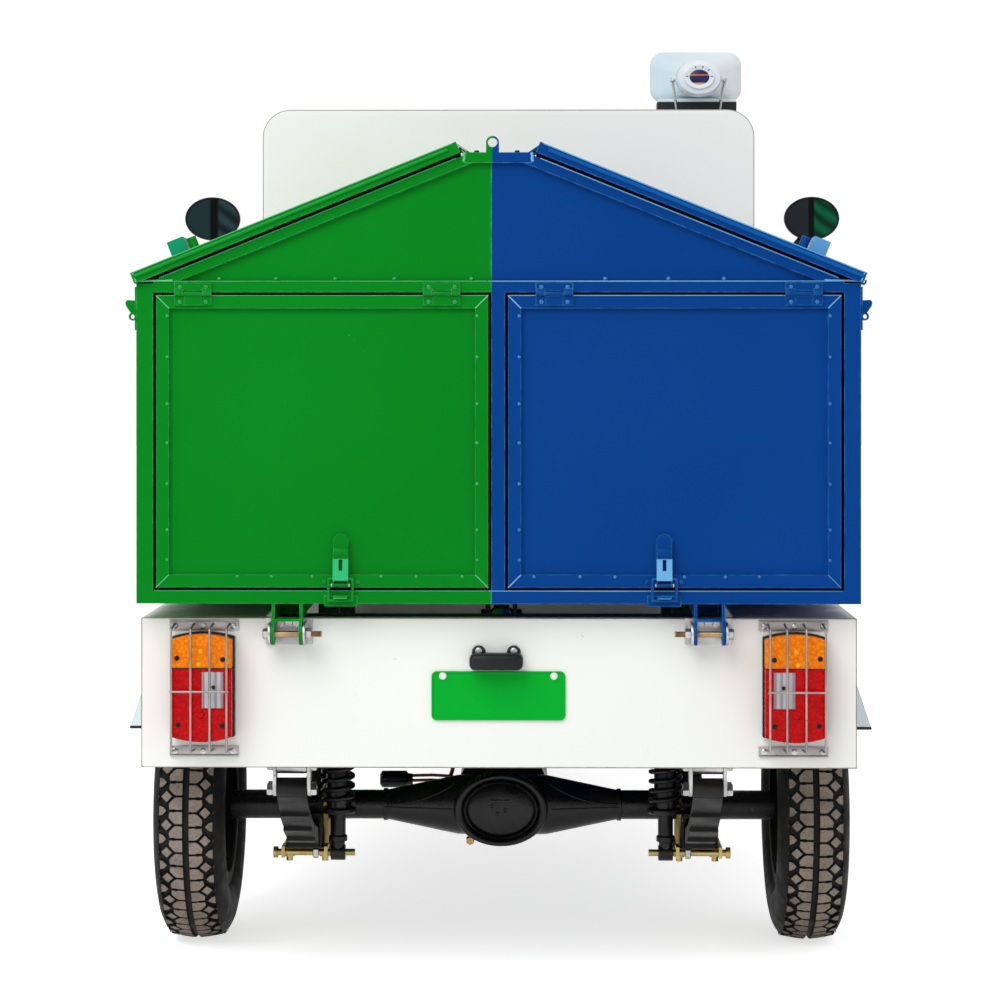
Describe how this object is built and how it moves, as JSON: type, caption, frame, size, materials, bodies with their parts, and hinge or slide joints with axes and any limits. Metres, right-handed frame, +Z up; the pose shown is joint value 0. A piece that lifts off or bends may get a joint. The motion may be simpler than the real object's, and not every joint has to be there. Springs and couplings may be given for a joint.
{
  "type": "three-wheeled electric garbage tipper",
  "caption": "Three-wheeled electric garbage tipper: open-sided cab, split green and blue tipping bin with rear doors and roof lids, leaf-sprung rear axle",
  "frame": {"origin": "on the ground, in the middle of the vehicle's length and width", "axes": "+X to the vehicle's right, +Y forwards, +Z up"},
  "size_m": [1.62, 2.8925, 1.733],
  "materials": {
    "white_paint": "sprayed gloss enamel on sheet steel",
    "green_paint": "sprayed gloss enamel on sheet steel and tube",
    "blue_paint": "sprayed gloss enamel on sheet steel and tube",
    "black_paint": "satin black chassis paint",
    "grey_paint": "grey primer inside the bin",
    "zinc": "bright zinc plate",
    "yellow_zinc": "yellow passivated zinc plate",
    "spring_steel": "painted spring steel",
    "tyre_rubber": "moulded tread rubber, dusty on its face",
    "amber_lens": "transparent amber acrylic",
    "red_lens": "transparent red acrylic",
    "clear_lens": "clear ribbed acrylic",
    "black_plastic": "moulded black plastic",
    "plate_green": "blank reflective green sheet",
    "seat_vinyl": "black vinyl over foam",
    "windscreen_glass": "laminated safety glass",
    "lamp_glass": "clear lamp glass over a bright bowl",
    "white_plastic": "moulded white plastic",
    "battery_case": "battery case"
  },
  "bodies": {
    "chassis": {"chassis_frame": "black_paint", "head_frame": "black_paint", "rear_axle": "black_paint", "drive_motor": "black_paint", "leaf_springs": "spring_steel", "spring_hangers": "zinc", "spring_clamps": "yellow_zinc", "shock_absorbers": "black_paint", "rear_panel": "white_paint", "body_side_left": "white_paint", "body_side_right": "white_paint", "wheel_flares": "white_paint", "lamp_housings": "black_plastic", "amber_lenses": "amber_lens", "red_lenses": "red_lens", "reverse_lenses": "clear_lens", "lamp_guards": "zinc", "number_plate": "plate_green", "plate_lamp": "black_plastic", "tip_brackets": "zinc", "tip_bolts": "yellow_zinc", "cab_floor": "white_paint", "cab_rear_wall": "white_paint", "cab_roof": "white_paint", "cab_nose": "white_paint", "cab_pillars": "white_paint", "windscreen": "windscreen_glass", "seat_base": "black_paint", "battery_pack": "battery_case", "seat_cushion": "seat_vinyl", "seat_back": "seat_vinyl", "headlamps": "lamp_glass", "front_indicators": "amber_lens", "mirrors": "black_plastic", "loudspeaker": "white_plastic", "driver_controls": "black_plastic"},
    "bin": {"bin_left": "green_paint", "bin_right": "blue_paint", "bin_rear_frame_left": "green_paint", "bin_rear_frame_right": "blue_paint", "bin_divider": "grey_paint", "bin_ridge": "green_paint", "bin_cross_tube": "black_paint"},
    "door_left": {"door_left": "green_paint"},
    "door_right": {"door_right": "blue_paint"},
    "lid_left": {"lid_left": "green_paint"},
    "lid_right": {"lid_right": "blue_paint"},
    "fork": {"front_fork": "black_paint", "handlebar": "black_paint", "front_mudguard": "white_paint"},
    "wheel_front": {"tyre_front": "tyre_rubber", "rim_front": "zinc"},
    "wheel_rear_left": {"tyre_rear_left": "tyre_rubber", "rim_rear_left": "zinc"},
    "wheel_rear_right": {"tyre_rear_right": "tyre_rubber", "rim_rear_right": "zinc"},
    "cylinder_barrel": {"cylinder_barrel": "black_paint"},
    "cylinder_rod": {"cylinder_rod": "zinc"}
  },
  "joints": [
    {"name": "bin_tip", "type": "hinge", "parent": "chassis", "child": "bin", "pos_m": [0, -1.428, 0.597], "axis": [1, 0, 0], "range_deg": [0, 45]},
    {"name": "door_left_hinge", "type": "hinge", "parent": "bin", "child": "door_left", "pos_m": [-0.285, -1.434, 1.1465], "axis": [-1, 0, 0], "range_deg": [0, 110]},
    {"name": "door_right_hinge", "type": "hinge", "parent": "bin", "child": "door_right", "pos_m": [0.285, -1.434, 1.1465], "axis": [-1, 0, 0], "range_deg": [0, 110]},
    {"name": "lid_left_hinge", "type": "hinge", "parent": "bin", "child": "lid_left", "pos_m": [-0.06949, -0.68, 1.39531], "axis": [0, 1, 0], "range_deg": [0, 100]},
    {"name": "lid_right_hinge", "type": "hinge", "parent": "bin", "child": "lid_right", "pos_m": [0.06949, -0.68, 1.39531], "axis": [0, -1, 0], "range_deg": [0, 100]},
    {"name": "steering", "type": "hinge", "parent": "chassis", "child": "fork", "pos_m": [0, 0.9769, 0.65], "axis": [0, -0.4226, 0.9063], "range_deg": [-40, 40]},
    {"name": "wheel_front_spin", "type": "hinge", "parent": "fork", "child": "wheel_front", "pos_m": [0, 1.19, 0.237], "axis": [1, 0, 0], "continuous": true},
    {"name": "wheel_rear_left_spin", "type": "hinge", "parent": "chassis", "child": "wheel_rear_left", "pos_m": [-0.5445, -0.89, 0.237], "axis": [1, 0, 0], "continuous": true},
    {"name": "wheel_rear_right_spin", "type": "hinge", "parent": "chassis", "child": "wheel_rear_right", "pos_m": [0.5445, -0.89, 0.237], "axis": [1, 0, 0], "continuous": true},
    {"name": "cylinder_swing", "type": "hinge", "parent": "chassis", "child": "cylinder_barrel", "pos_m": [0, -0.3, 0.43], "axis": [-1, 0, 0], "range_deg": [0, 16.7]},
    {"name": "cylinder_stroke", "type": "slide", "parent": "cylinder_barrel", "child": "cylinder_rod", "axis": [0, -0.9749, 0.2228], "range_m": [0, 0.2253]}
  ],
  "couplings": [
    {"joint": "cylinder_swing", "follows": "bin_tip", "ratio": 0.37006},
    {"joint": "cylinder_stroke", "follows": "bin_tip", "m_per_rad": 0.28625}
  ]
}
